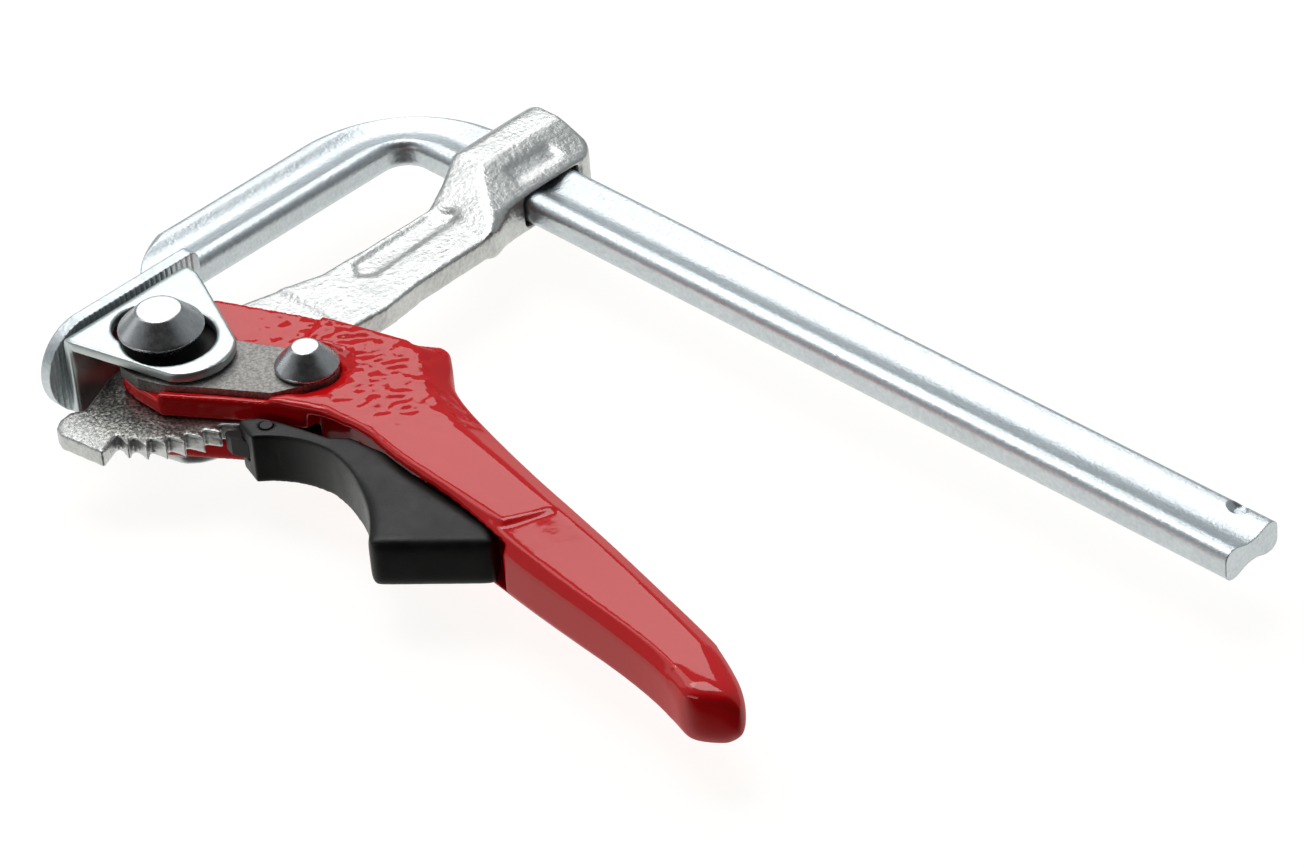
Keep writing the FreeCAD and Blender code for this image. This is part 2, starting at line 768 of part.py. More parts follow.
def build_sliding_arm():
    body = new_body("sliding_arm")
    plate = spread(ARM_BACK_SHARES + ARM_FRONT_SHARES, "arm_width", "throat")
    add_pad(body, draw_outline(new_sketch(body, "XY_Plane"), plate), size("arm_thickness"))
    add_pad(body, draw_outline(new_sketch(body, "XY_Plane"), head_outline()), size("head_height"))
    cut_head_ramps(body)
    cut_head_slopes(body)
    cut_head_panels(body)
    add_pad(body, draw_outline(new_sketch(body, "XY_Plane"), blade_outline()), size("blade_thickness"))
    cut_window(body)
    hole = draw_circle(new_sketch(body, "XY_Plane"), 0, 0, size("rivet_shank_radius") + size("running_fit"))
    cut_pocket(body, hole, size("arm_thickness") + size("overrun"))
    floor = size("arm_thickness") / 2 - size("arm_recess_depth")
    sketch = new_sketch(body, "XY_Plane", lift=floor)
    recess = draw_outline(sketch, spread(RECESS_SHARES, "arm_width", "throat"))
    mirror_over_middle(body, cut_pocket(body, recess, size("overrun"), midplane=False, backwards=True))
    round_head(body)
    return body


def flange_outline():
    front = spread(FLANGE_FRONT_SHARES, "pad_nose_place", "pad_front_width")
    back = spread(FLANGE_BACK_SHARES, "pad_nose_place", "pad_back_width")
    reach = -size("pad_reach")
    nose = front[-1] + (size("pad_nose_radius"), 1)
    start = (reach, -size("pad_front_width") * WEB_SHARES[0])
    end = (reach, size("pad_back_width") * WEB_SHARES[1])
    return [start] + front[:-1] + [nose] + back + [end]


def at_pad_bend(edge, middle):
    """Whether an edge is a bend between the pad's web and one of its flanges."""
    on_web = abs(middle.x + SIZES["pad_reach"]) < SAME_PLACE
    return on_web and abs(abs(middle.z) - SIZES["pad_height"] / 2) < SAME_PLACE


def build_pressure_pad():
    body = new_body("pressure_pad")
    reach, wall, half = size("pad_reach"), size("pad_wall"), size("pad_height") / 2
    add_pad(body, draw_outline(new_sketch(body, "XY_Plane"), flange_outline()), size("pad_height"))
    inside, far = wall - reach, size("pad_nose_place") + size("overrun")
    gap = [(inside, wall - half), (far, wall - half), (far, half - wall), (inside, half - wall)]
    inner = draw_outline(new_sketch(body, "XZ_Plane"), gap)
    cut_pocket(body, inner, (size("pad_back_width") + size("overrun")) * 2)
    through, drop = size("pad_height") + size("overrun"), -size("keyhole_drop")
    for place, radius in ((size("keyhole_place"), size("keyhole_radius")),
                          (-size("keyhole_slot_place"), size("keyhole_slot_radius"))):
        cut_pocket(body, draw_circle(new_sketch(body, "XY_Plane"), place, drop, radius), through)
    round_edges(body, at_pad_bend, size("pad_bend_radius"))
    return body


def cam_points(inset):
    """Round nose of the cam, whose reach towards the pad falls evenly as the lever swings."""
    steps = 3
    swing = size("lever_swing_angle")
    slope = cam_rise() * (180 / math.pi)
    points = []
    for step in range(steps + 1):
        angle = swing * (step / steps) + 180
        reach = size("cam_radius") - inset - cam_rise() * swing * (step / steps)
        x = reach * cosine(angle) + slope * sine(angle)
        y = reach * sine(angle) - slope * cosine(angle)
        if step < steps:
            points.append((x, y, reach - cam_rise() * swing / (2 * steps), 1))
        else:
            points.append((x, y))
    return points


def plate_outline():
    """Cam plate: cam nose, front edge, end round the pawl rivet, back edge."""
    end, across = size("plate_end_radius"), size("pawl_axis_distance")
    return (
        cam_points(as_size(0))
        + lever_points(PLATE_NOSE_SHARES + PLATE_FRONT_SHARES)
        + [(across + end, size("pawl_axis_offset"), end, 1), (across, size("pawl_axis_offset") + end)]
        + lever_points(PLATE_BACK_SHARES)
    )


def cut_rivet_holes(body, length):
    """Holes for the shanks of the main rivet and of the pawl rivet."""
    fit = size("running_fit")
    main = draw_circle(new_sketch(body, "XY_Plane"), 0, 0, size("rivet_shank_radius") + fit)
    cut_pocket(body, main, length)
    x, y = size("pawl_axis_distance"), size("pawl_axis_offset")
    pawl = draw_circle(new_sketch(body, "XY_Plane"), x, y, size("pin_shank_radius") + fit)
    cut_pocket(body, pawl, length)


def build_cam_plate(name, lift):
    body = new_body(name)
    sketch = draw_outline(new_sketch(body, "XY_Plane", lift=lift), plate_outline())
    add_pad(body, sketch, size("plate_thickness"), midplane=False)
    cut_rivet_holes(body, size("pad_height"))
    return body


def section_edges(row):
    """Front and back edge of a section's flat top, measured across the lever."""
    across, half, front, back = row[1], row[3], row[4], row[5]
    return size("lever_rise") * (across - half + front), size("lever_rise") * (across + half - back)


def lever_section(body, row):
    """One eight-sided section of the lever, square to its run, lower along its front edge."""
    along, across, turn, half = row[:4]
    height, drop = row[6:]
    rise, middle = size("lever_rise"), size("lever_rise") * across
    front_edge, back_edge = (edge - middle for edge in section_edges(row))
    side, low = size("grip_side_height") / 2, size("grip_height") / 2
    top = low + (size("lever_height") / 2 - size("plateau_lift") - low) * height
    front_top = top - size("grip_front_drop") * drop
    sketch = new_sketch(body, "YZ_Plane", lift=size("lever_length") * along, turn=turn, shift=middle)
    return draw_outline(sketch, [
        (-rise * half, -side),
        (front_edge, -front_top),
        (back_edge, -top),
        (rise * half, -side),
        (rise * half, side),
        (back_edge, top),
        (front_edge, front_top),
        (-rise * half, side),
    ])


def add_loft(body, table, ruled):
    sections = [lever_section(body, row) for row in table]
    doc.recompute()
    loft = body.newObject("PartDesign::AdditiveLoft", body.Label + "_loft")
    loft.Profile = sections[0]
    loft.Sections = sections[1:]
    loft.Ruled = ruled
    doc.recompute()
    return loft


def cut_plate_pockets(body):
    """Seats for the cam plates in the outer faces of the cheeks."""
    end = size("plate_end_radius") + size("pocket_clearance")
    across = size("pawl_axis_distance")
    outline = (
        lever_points(POCKET_NOSE_SHARES + POCKET_FRONT_SHARES)
        + [(across + end, size("pawl_axis_offset"), end, 1), (across, size("pawl_axis_offset") + end)]
        + lever_points(POCKET_BACK_SHARES)
    )
    sketch = draw_outline(new_sketch(body, "XY_Plane", lift=plate_floor()), outline)
    mirror_over_middle(body, cut_pocket(body, sketch, size("overrun"), midplane=False, backwards=True))


def cut_seats(body):
    """Dished seats round the pawl rivet's heads."""
    high = size("lever_height") / 2
    seat = draw_circle(
        new_sketch(body, "XY_Plane", lift=high - size("seat_depth")),
        size("pawl_axis_distance"), size("pawl_axis_offset"), size("seat_radius"),
    )
    mirror_over_middle(body, cut_pocket(body, seat, size("overrun"), midplane=False, backwards=True))


def plateau_outline():
    """Raised flat of the lever's head, which runs out over the grip as far as the facet."""
    inset = size("plateau_inset")
    rows = HUMP_SHARES[1:] + GRIP_SHARES[1:4]
    front = [(size("lever_length") * row[0], section_edges(row)[0] + inset) for row in rows]
    back = [(size("lever_length") * row[0], section_edges(row)[1] - inset) for row in reversed(rows)]
    return (
        lever_points(LEVER_FRONT_SHARES[-2:])
        + front
        + lever_points(FACET_SHARES)
        + back
        + lever_points(LEVER_BACK_SHARES[:2] + STEP_SHARES)
    )


def slot_outline():
    """Slot between the cheeks for the blade and the pawl, open at the front and at the back."""
    wall = pawl_points(SLOT_SHARES)
    low, high = -(size("cam_radius") + size("overrun")), size("lever_rise") + size("overrun")
    return [(low, low), (wall[0][0], low)] + wall + [(wall[-1][0], high), (low, high)]


def cavity_outline():
    """Hollow of the lever that the trigger swings in, open at the front."""
    end = spread(CAVITY_END_SHARES, "trigger_reach", "lever_rise")
    front = pawl_points(CAVITY_FRONT_SHARES)
    low = -(size("cam_radius") + size("overrun"))
    return [(front[-1][0], low), (end[0][0], low)] + end + front


def build_lever_casting():
    body = new_body("lever_casting")
    head = cam_points(size("cam_inset")) + lever_points(LEVER_FRONT_SHARES + LEVER_BACK_SHARES)
    rim_height = size("lever_height") - size("rim_step") * 2
    add_pad(body, draw_outline(new_sketch(body, "XY_Plane"), head), rim_height)
    add_loft(body, HUMP_SHARES, True)
    add_loft(body, GRIP_SHARES, False)
    add_pad(body, draw_outline(new_sketch(body, "XY_Plane"), plateau_outline()), size("lever_height"))
    cut_pocket(body, draw_outline(new_sketch(body, "XY_Plane"), slot_outline()), cheek_gap() * 2)
    cavity = draw_outline(new_sketch(body, "XY_Plane"), cavity_outline())
    cut_pocket(body, cavity, size("trigger_height") + size("trigger_clearance") * 2)
    cut_plate_pockets(body)
    cut_seats(body)
    cut_rivet_holes(body, size("pad_height"))
    return body


def rivet_profile(stem):
    """Half section of a rivet with the same coned head at both ends."""
    flat, rim, shank = (size(f"{stem}_{part}_radius") for part in ("flat", "rim", "shank"))
    under = size("pad_height") / 2 if stem == "rivet" else size("lever_height") / 2
    low = under + size(f"{stem}_lift")
    high = low + size(f"{stem}_rim_thickness")
    top = high + size(f"{stem}_cone_height")
    upper = [(shank, low), (rim, low), (rim, high), (flat, top), (as_size(0), top)]
    lower = [(radius, -height) for radius, height in reversed(upper)]
    return lower + upper


def build_main_rivet():
    body = new_body("main_rivet")
    turn_profile(body, rivet_profile("rivet"))
    return body


def build_pawl_rivet():
    body = new_body("pawl_rivet")
    stand_at_pawl_axis(body)
    turn_profile(body, rivet_profile("pin"))
    return body


def build_pawl_bush():
    body = new_body("pawl_bush")
    stand_at_pawl_axis(body)
    ring = draw_circle(new_sketch(body, "XY_Plane"), 0, 0, size("bush_radius"))
    add_pad(body, ring, (cheek_gap() - size("bush_end_clearance")) * 2)
    bore = draw_circle(new_sketch(body, "XY_Plane"), 0, 0, size("pin_shank_radius") + size("running_fit"))
    cut_pocket(body, bore, size("pad_height"))
    return body


def from_pawl_axis(point):
    return point[0] - size("pawl_axis_distance"), point[1] - size("pawl_axis_offset")


def pawl_outline():
    """Pawl in its locked place: lock face, tail, hub, neck and the flank that rides the teeth."""
    drop, hub = "pawl_drop", size("hub_radius")
    root = size("tooth_tip_radius") - size("tooth_depth")
    lock = size("first_tooth_angle") + size("nose_gap_angle")
    tip = polar(root + size("nose_clearance"), lock)
    flat = polar(root + size("nose_clearance"), lock + size("nose_flat_angle"))
    flank = polar(size("tooth_tip_radius"), lock + size("nose_flank_angle"))
    return (
        [from_pawl_axis(tip)]
        + spread(PAWL_TAIL_SHARES, drop, drop)
        + [(hub, 0, hub, 1), (0, hub, hub, 1), (-hub, 0)]
        + spread(PAWL_NECK_SHARES, drop, drop)
        + [from_pawl_axis(flank), from_pawl_axis(flat)]
    )


def build_pawl():
    body = new_body("pawl")
    stand_at_pawl_axis(body)
    bind(body, "Placement.Rotation.Angle", size("pawl_lift_angle"))
    add_pad(body, draw_outline(new_sketch(body, "XY_Plane"), pawl_outline()), size("blade_thickness"))
    bore = draw_circle(new_sketch(body, "XY_Plane"), 0, 0, size("bush_radius") + size("running_fit"))
    cut_pocket(body, bore, size("pad_height"))
    turned = size("pawl_lift_angle")
    across, along = from_pawl_axis((size("trigger_pin_distance"), size("trigger_pin_offset")))
    x = across * cosine(turned) + along * sine(turned)
    y = along * cosine(turned) - across * sine(turned)
    hole = draw_circle(new_sketch(body, "XY_Plane"), x, y, size("trigger_pin_radius") + size("running_fit"))
    cut_pocket(body, hole, size("pad_height"))
    return body


def trigger_outline():
    """Trigger: finger curve, toe, back and the front end round the pawl's tail."""
    front_end = pawl_points(TRIGGER_BACK_SHARES + TRIGGER_EDGE_SHARES)
    finger = front_end[-1:] + spread(FINGER_SHARES, "trigger_reach", "trigger_drop")
    radii = [size("finger_front_radius"), size("finger_middle_radius"), size("finger_back_radius")]
    curve = [point + (radius, -1) for point, radius in zip(finger, radii)]
    toe = spread(TRIGGER_TOE_SHARES, "trigger_reach", "trigger_drop")
    return curve + finger[-1:] + toe + front_end[:-1]


def build_trigger_body():
    body = new_body("trigger_body")
    add_pad(body, draw_outline(new_sketch(body, "XY_Plane"), trigger_outline()), size("trigger_height"))
    slot = draw_outline(new_sketch(body, "XY_Plane"), pawl_points(PAWL_SLOT_SHARES))
    cut_pocket(body, slot, size("blade_thickness") + size("pawl_slot_clearance") * 2)
    x, y = size("trigger_pin_distance"), size("trigger_pin_offset")
    pin = draw_circle(new_sketch(body, "XY_Plane"), x, y, size("trigger_pin_radius") + size("running_fit"))
    cut_pocket(body, pin, size("pad_height"))
    sketch = new_sketch(body, "XZ_Plane", lift=-size("spring_bore_bottom"))
    bore = draw_circle(sketch, size("spring_place"), 0, size("spring_bore_radius"))
    cut_pocket(body, bore, size("trigger_drop"), midplane=False)
    return body


def build_trigger_pin():
    body = new_body("trigger_pin")
    x, y = size("trigger_pin_distance"), size("trigger_pin_offset")
    circle = draw_circle(new_sketch(body, "XY_Plane"), x, y, size("trigger_pin_radius"))
    add_pad(body, circle, size("trigger_height"))
    return body


def cavity_back():
    """Place of the cavity's back wall at the spring."""
    (x0, y0), (x1, y1) = cavity_outline()[-2], cavity_outline()[-3]
    return y0 + (y1 - y0) * (size("spring_place") - x0) / (x1 - x0)


def wire_section(start, tangent, radius):
    """A few-sided section of the spring's wire, square to the wire where it starts."""
    outwards = FreeCAD.Vector(1, 0, 0)
    beside = tangent.cross(outwards)
    sides = SIZES["spring_wire_sides"]
    turns = [2 * math.pi * side / sides for side in range(sides)]
    corners = [start + (outwards * math.cos(turn) + beside * math.sin(turn)) * radius for turn in turns]
    return Part.makePolygon(corners + corners[:1])


def build_trigger_spring():
    """Coil between the trigger and the cavity's back wall, one unbroken wire of quarter turns."""
    wire = size("spring_wire_radius").value
    gap = size("spring_seat_clearance").value
    start = size("spring_bore_bottom").value + wire + gap
    length = cavity_back().value - gap - wire - start
    radius, turns = size("spring_radius").value, SIZES["spring_turns"]

    def point(turn):
        angle = turn * 2 * math.pi
        x = size("spring_place").value + radius * math.cos(angle)
        return FreeCAD.Vector(x, start + length * turn / turns, radius * math.sin(angle))

    quarters = [point(step / 4) for step in range(4 * turns + 1)]
    middles = [point((step + 0.5) / 4) for step in range(4 * turns)]
    arcs = [Part.Arc(a, m, b).toShape() for a, m, b in zip(quarters, middles, quarters[1:])]
    path = Part.Wire(arcs)
    section = wire_section(quarters[0], arcs[0].tangentAt(arcs[0].FirstParameter), wire)
    feature = doc.addObject("Part::Feature", "trigger_spring")
    feature.Label = "trigger_spring"
    feature.Shape = path.makePipeShell([section], True, False)
    feature.Placement = FreeCAD.Placement(FreeCAD.Vector(0, 0, rest_height().value), FreeCAD.Rotation())
    print("spring gap to itself", round(length / turns - 2 * wire, 2), "mm")
    return feature


def build_all():
    fill_sheet()
    return [
        build_fixed_rail(),
        build_sliding_arm(),
        build_pressure_pad(),
        build_lever_casting(),
        build_cam_plate("cam_plate_upper", plate_floor()),
        build_cam_plate("cam_plate_lower", -plate_top()),
        build_main_rivet(),
        build_pawl_rivet(),
        build_pawl_bush(),
        build_pawl(),
        build_trigger_body(),
        build_trigger_pin(),
        build_trigger_spring(),
    ]


def check_document(parts):
    doc.recompute()
    for obj in doc.Objects:
        if "Invalid" in obj.State or "Error" in obj.State:
            raise RuntimeError(f"{obj.Label} failed: {obj.State}")
    for part in parts:
        if part.Shape.isNull() or not part.Shape.isValid() or len(part.Shape.Solids) != 1:
            raise RuntimeError(f"{part.Label} has no single valid solid")


def write_parts(parts):
    os.makedirs("parts", exist_ok=True)
    for part in parts:
        part.Shape.exportStep(f"parts/{part.Label}.step")


sub_parts = build_all()
check_document(sub_parts)
write_parts(sub_parts)
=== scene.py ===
import math

import bpy
from mathutils import Matrix, Vector, noise


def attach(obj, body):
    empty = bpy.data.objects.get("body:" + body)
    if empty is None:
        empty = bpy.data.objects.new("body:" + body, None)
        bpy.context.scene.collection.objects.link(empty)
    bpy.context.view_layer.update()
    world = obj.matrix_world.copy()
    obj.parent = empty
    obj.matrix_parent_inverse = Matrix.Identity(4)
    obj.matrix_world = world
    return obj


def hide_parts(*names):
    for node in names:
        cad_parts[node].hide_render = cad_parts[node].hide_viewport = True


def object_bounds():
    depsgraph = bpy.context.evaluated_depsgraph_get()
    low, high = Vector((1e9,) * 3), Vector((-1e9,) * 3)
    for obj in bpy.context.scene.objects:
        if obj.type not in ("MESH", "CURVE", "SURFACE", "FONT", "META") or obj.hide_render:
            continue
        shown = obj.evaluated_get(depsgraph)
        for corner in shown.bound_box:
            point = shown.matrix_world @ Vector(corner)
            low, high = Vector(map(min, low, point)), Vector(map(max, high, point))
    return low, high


# Quick release bar clamp, lying on its side on a pale floor. Everything is in metres.

MM = 0.001

# Camera: what it looks at, from how far and from where, found from the photograph's perspective.
VIEW_TARGET = Vector((85.0, 45.7, 16.0)) * MM
VIEW_DISTANCE = 1.0392
VIEW_AZIMUTH = math.radians(-42.89)
VIEW_ELEVATION = math.radians(37.0)
VIEW_ROLL = math.radians(-4.81)
VIEW_LENS = 153.48
VIEW_SENSOR_WIDTH = 36.0
VIEW_CLIP_START = 0.05

# Floor, which glows a little and is seen by the camera alone.
FLOOR_SIZE = 12.0
FLOOR_GLOW = 0.92
FLOOR_MOTTLE_SIZE = 0.6
RAYS_WITHOUT_FLOOR = ("diffuse", "glossy", "transmission", "shadow")

# Surroundings: the edges are where one color turns into the next, along the height of a unit
# direction and along how far it points to the camera's side.
WORLD_FAR_COLOR = (0.33, 0.35, 0.36, 1.0)
WORLD_LOW_COLOR = (0.95, 0.95, 0.92, 1.0)
WORLD_NEAR_COLOR = (0.025, 0.024, 0.023, 1.0)
WORLD_NEAR_ELEVATION = math.radians(10)
WORLD_LOW_EDGE = (-0.12, -0.02)
WORLD_NEAR_EDGE = (0.1, 0.6)

# Materials: the range that most of a noise's values lie in, and the places where a tone changes.
NOISE_RANGE = (0.3, 0.7)
FLAT_FACING = (0.75, 0.95)
# Painted shade on the toothed blade's flat faces: where it fades out at its top along Y, where it fades
# towards the tip, and the share of it kept at the tip.
BLADE_TOP_RUN = (-12 * MM, -2 * MM)
BLADE_TIP_RUN = (-27 * MM, -20 * MM)
BLADE_TIP_SHADE_SHARE = 0.25
# Painted shadow on the cam plates round the main rivet: the distances from its axis over which it gives way
# to bare steel.
CAM_SHADOW_RUN = (10 * MM, 13 * MM)

# Skins of the worn pieces: how fine they are made, and the share of their faces kept at the end.
CASTING_VOXEL = 0.4 * MM
MOULDING_VOXEL = 0.3 * MM
RIVET_VOXEL = 0.2 * MM
KEPT_FACE_SHARE = 0.4

# Wear: how far one smoothing step goes, and how many steps each piece and stretch takes.
WEAR_FACTOR = 0.5
ARM_STEPS = 18
ARM_HEAD_STEPS = 10
ARM_CREASE_STEPS = 50
LEVER_STEPS = 12
LEVER_NECK_STEPS = 24
GRIP_END_STEPS = 320
PAD_STEPS = 18
TRIGGER_STEPS = 16
TRIGGER_END_STEPS = 200
RIVET_STEPS = 12

# Stretches over which wear sets in, along Y on the arm and along X on the lever and trigger.
BLADE_WEAR_RUN = (-6 * MM, 2 * MM)
BLADE_WEAR_SHARE = 0.15
ARM_HEAD_RUN = (54 * MM, 64 * MM)
ARM_CREASE_PLACE = (7 * MM, 70 * MM)
ARM_CREASE_REACH = (2.5 * MM, 6 * MM)
NECK_START_RUN = (26 * MM, 34 * MM)
NECK_END_RUN = (84 * MM, 92 * MM)
GRIP_END_RUN = (141 * MM, 148 * MM)
TRIGGER_END_RUN = (56 * MM, 64 * MM)

# Relief of the arm's cast skin: wide and narrow waves over a level that keeps it pressed in.
SKIN_DEPTH = 0.07 * MM
SKIN_LEVEL = 1.2
SKIN_WAVE_SIZE = 5 * MM
SKIN_RIPPLE_SIZE = 2.2 * MM
SKIN_RIPPLE_SHARE = 0.5

# Dimples of the lever's head: the middle of their stretch, its reach, their fading and their form.
DIMPLE_PLACE = (34 * MM, 22 * MM)
DIMPLE_REACH = 9 * MM
DIMPLE_FADE = (7 * MM, 24 * MM)
DIMPLE_DEPTH = 0.30 * MM
DIMPLE_SIZE = 2.6 * MM
DIMPLE_RIPPLE_SIZE = 1.2 * MM
DIMPLE_RIPPLE_SHARE = 0.2
DIMPLE_LEVELS = (-0.45, 0.55)
DIMPLED_FACE_FACING = 0.8


def view_rotation(azimuth, elevation, roll):
    """Rotation of a camera that looks at its target from the given side and height."""
    turn = Matrix.Rotation(azimuth + math.pi / 2, 4, "Z")
    tilt = Matrix.Rotation(math.pi / 2 - elevation, 4, "X")
    return turn @ tilt @ Matrix.Rotation(roll, 4, "Z")


def direction(azimuth, elevation):
    """Unit direction towards the given side and height."""
    level = math.cos(elevation)
    return Vector((math.cos(azimuth) * level, math.sin(azimuth) * level, math.sin(elevation)))


def add_camera():
    camera = bpy.data.objects.new("camera", bpy.data.cameras.new("camera"))
    bpy.context.scene.collection.objects.link(camera)
    place = VIEW_TARGET + direction(VIEW_AZIMUTH, VIEW_ELEVATION) * VIEW_DISTANCE
    camera.matrix_world = Matrix.Translation(place) @ view_rotation(VIEW_AZIMUTH, VIEW_ELEVATION, VIEW_ROLL)
    camera.data.lens = VIEW_LENS
    camera.data.sensor_width = VIEW_SENSOR_WIDTH
    camera.data.clip_start = VIEW_CLIP_START
    bpy.context.scene.camera = camera


class Graph:
    """A node tree, with short ways to add and join nodes."""

    def __init__(self, tree):
        self.tree = tree

    def node(self, kind, **values):
        """Add a node; each value goes to the node's setting or input of that name."""
        made = self.tree.nodes.new(kind)
        for name, value in values.items():
            if hasattr(made, name) and name not in made.inputs:
                setattr(made, name, value)
            else:
                self.feed(made.inputs[name.replace("_", " ")], value)
        return made

    def feed(self, socket, value):
        """Link the value when it is another node's socket, and set it otherwise."""
        if isinstance(value, bpy.types.NodeSocket):
            self.tree.links.new(value, socket)
        else:
            socket.default_value = value

    def place(self, scale=(1, 1, 1)):
        """Object coordinates in metres, stretched."""
        source = self.node("ShaderNodeTexCoord").outputs["Object"]
        return self.node("ShaderNodeMapping", Vector=source, Scale=scale).outputs["Vector"]

    def part(self, vector, axis):
        """One part of a vector, X, Y or Z."""
        return self.node("ShaderNodeSeparateXYZ", Vector=vector).outputs[axis]

    def lumps(self, size, detail=3.0, stretch=(1, 1, 1), roughness=0.5):
        """Noise whose lumps are about the given size across, in metres."""
        made = self.node("ShaderNodeTexNoise", Vector=self.place(scale=stretch), Scale=1 / size,
                         Detail=detail, Roughness=roughness)
        return made.outputs["Fac"]

    def ramp(self, value, low, high, start=0.0, end=1.0):
        """Carry low..high over to start..end, held at both ends."""
        made = self.node("ShaderNodeMapRange", clamp=True, Value=value)
        for name, amount in (("From Min", low), ("From Max", high), ("To Min", start), ("To Max", end)):
            self.feed(made.inputs[name], amount)
        return made.outputs["Result"]

    def spread(self, value, start=0.0, end=1.0):
        """Carry a noise's usual range over to start..end."""
        return self.ramp(value, *NOISE_RANGE, start, end)

    def calculate(self, operation, first, second=0.0):
        made = self.node("ShaderNodeMath", operation=operation)
        self.feed(made.inputs[0], first)
        self.feed(made.inputs[1], second)
        return made.outputs["Value"]

    def measure(self, operation, first, second=None):
        """A number worked out from one or two vectors."""
        made = self.node("ShaderNodeVectorMath", operation=operation)
        self.feed(made.inputs[0], first)
        if second is not None:
            self.feed(made.inputs[1], second)
        return made.outputs["Value"]

    def mix(self, amount, first, second):
        """Blend two colors."""
        made = self.node("ShaderNodeMix", data_type="RGBA")
        self.feed(made.inputs["Factor"], amount)
        self.feed(made.inputs[6], first)
        self.feed(made.inputs[7], second)
        return made.outputs[2]

    def bump(self, height, depth, normal=None):
        """Bump of the given depth in metres for a height that runs from 0 to 1."""
        made = self.node("ShaderNodeBump", Height=height, Distance=depth)
        if normal is not None:
            self.feed(made.inputs["Normal"], normal)
        return made.outputs["Normal"]

    def rounded(self, radius):
        """Normals that look as if every edge had a small round."""
        return self.node("ShaderNodeBevel", samples=6, Radius=radius).outputs["Normal"]


class MaterialGraph(Graph):
    """The node tree of a new material, whose one shader takes the finish."""

    def __init__(self, name):
        self.material = bpy.data.materials.new(name)
        self.material.use_nodes = True
        super().__init__(self.material.node_tree)
        self.shader = self.tree.nodes["Principled BSDF"]

    def shade(self, **values):
        for name, value in values.items():
            self.feed(self.shader.inputs[name.replace("_", " ")], value)


def color(red, green, blue):
    return (red, green, blue, 1.0)


def bar_material():
    """Bright bluish zinc on drawn steel: faint draw lines under a fine even sparkle."""
    graph = MaterialGraph("zinc bar")
    mottle = graph.lumps(size=5 * MM, detail=4)
    lines = graph.lumps(size=0.5 * MM, detail=2, stretch=(0.06, 1, 1))
    sparkle = graph.lumps(size=0.8 * MM, detail=2)
    tone = graph.mix(graph.spread(sparkle), color(0.60, 0.65, 0.68), color(0.70, 0.75, 0.77))
    roughness = graph.spread(mottle, start=0.34, end=0.42)
    normal = graph.bump(lines, depth=0.006 * MM, normal=graph.rounded(radius=0.5 * MM))
    normal = graph.bump(sparkle, depth=0.08 * MM, normal=normal)
    graph.shade(Base_Color=tone, Metallic=0.95, Roughness=roughness, Normal=normal)
    return graph.material


def arm_material():
    """Bright zinc on a casting: a white pebbled skin, with painted shade on the toothed blade's flat faces,
    dark with lighter painted glints, where the pad and lever block its reflections.
    """
    graph = MaterialGraph("zinc cast arm")
    pebbles = graph.lumps(size=1.0 * MM, detail=2)
    waves = graph.lumps(size=4 * MM, detail=2)
    specks = graph.lumps(size=0.6 * MM, detail=3)
    across = graph.part(graph.place(), "Y")
    facing = graph.part(graph.node("ShaderNodeTexCoord").outputs["Normal"], "Z")
    flat = graph.ramp(graph.calculate("ABSOLUTE", facing), *FLAT_FACING)
    # Mask of the painted shade: the blade's flat faces, fading out at its top and thinning towards its tip.
    blade = graph.calculate("MULTIPLY", graph.ramp(across, *BLADE_TOP_RUN, start=1.0, end=0.0), flat)
    blade = graph.calculate("MULTIPLY", blade, graph.ramp(across, *BLADE_TIP_RUN, start=BLADE_TIP_SHADE_SHARE))
    # Painted shade of the blade: dark steel speckled with lighter painted glints.
    worn = graph.ramp(specks, low=0.42, high=0.66)
    blade_shade_tone = graph.mix(worn, color(0.13, 0.13, 0.13), color(0.52, 0.51, 0.46))
    bright = graph.mix(graph.spread(pebbles), color(0.56, 0.57, 0.565), color(0.70, 0.71, 0.69))
    roughness = graph.spread(waves, start=0.30, end=0.38)
    normal = graph.bump(pebbles, depth=0.14 * MM)
    graph.shade(Base_Color=graph.mix(blade, bright, blade_shade_tone), Metallic=0.9, Roughness=roughness, Normal=normal)
    return graph.material


def sheet_material():
    """Bright zinc on pressed sheet, slightly uneven in tone."""
    graph = MaterialGraph("zinc sheet")
    mottle = graph.lumps(size=6 * MM, detail=4)
    tone = graph.mix(graph.spread(mottle), color(0.52, 0.58, 0.58), color(0.66, 0.70, 0.69))
    roughness = graph.spread(mottle, start=0.28, end=0.38)
    normal = graph.bump(graph.lumps(size=0.7 * MM, detail=3), depth=0.014 * MM)
    graph.shade(Base_Color=tone, Metallic=0.9, Roughness=roughness, Normal=normal)
    return graph.material


def paint_material():
    """Glossy red enamel with a faint orange peel: a plain red under a clear coat."""
    graph = MaterialGraph("red enamel")
    tone = graph.mix(graph.lumps(size=14 * MM), color(0.68, 0.004, 0.006), color(0.76, 0.007, 0.010))
    normal = graph.bump(graph.lumps(size=1.8 * MM, detail=2), depth=0.014 * MM)
    graph.shade(Base_Color=tone, Roughness=0.5, Specular_IOR_Level=0.0, Normal=normal)
    graph.shade(Coat_Weight=0.32, Coat_IOR=2.2, Coat_Roughness=0.07, Coat_Normal=normal)
    return graph.material


